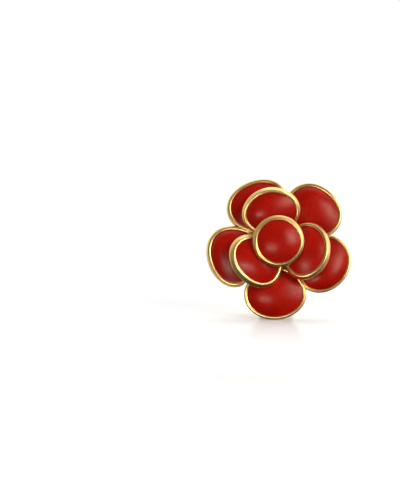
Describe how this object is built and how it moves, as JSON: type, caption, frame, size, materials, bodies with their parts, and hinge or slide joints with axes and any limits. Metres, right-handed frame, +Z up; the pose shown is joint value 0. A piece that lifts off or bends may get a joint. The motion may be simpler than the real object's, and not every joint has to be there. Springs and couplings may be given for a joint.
{
  "type": "clip on earring",
  "caption": "Flower clip-on earring with layered domed enamel petals in gold cups and a hinged paddle clip.",
  "frame": {"origin": "on the floor under the middle of the earring's box, as it stands on its lowest petal and its clip", "axes": "+X to the right seen from the front, -Y to the front, +Z up"},
  "size_m": [0.0252, 0.0138, 0.024],
  "materials": {
    "gold": "gold plated, polished",
    "clip_gold": "gold plated, satin polished",
    "enamel": "deep red glossy enamel"
  },
  "bodies": {
    "flower": {"outer_rosette": "gold", "inner_rosette": "gold", "dome_cup": "gold", "enamel_top_right": "enamel", "enamel_top_left": "enamel", "enamel_left": "enamel", "enamel_bottom": "enamel", "enamel_right": "enamel", "enamel_inner_top": "enamel", "enamel_inner_left": "enamel", "enamel_inner_right": "enamel", "enamel_centre": "enamel", "hinge_pin": "clip_gold"},
    "paddle": {"clip_paddle": "clip_gold"}
  },
  "joints": [
    {"name": "paddle_hinge", "type": "hinge", "parent": "flower", "child": "paddle", "pos_m": [-0.00055, 0.0043, 0.0025], "axis": [-1, 0, 0], "range_deg": [0, 88], "stiffness_Nm_per_rad": 0.0003, "springref_deg": -20.05}
  ]
}
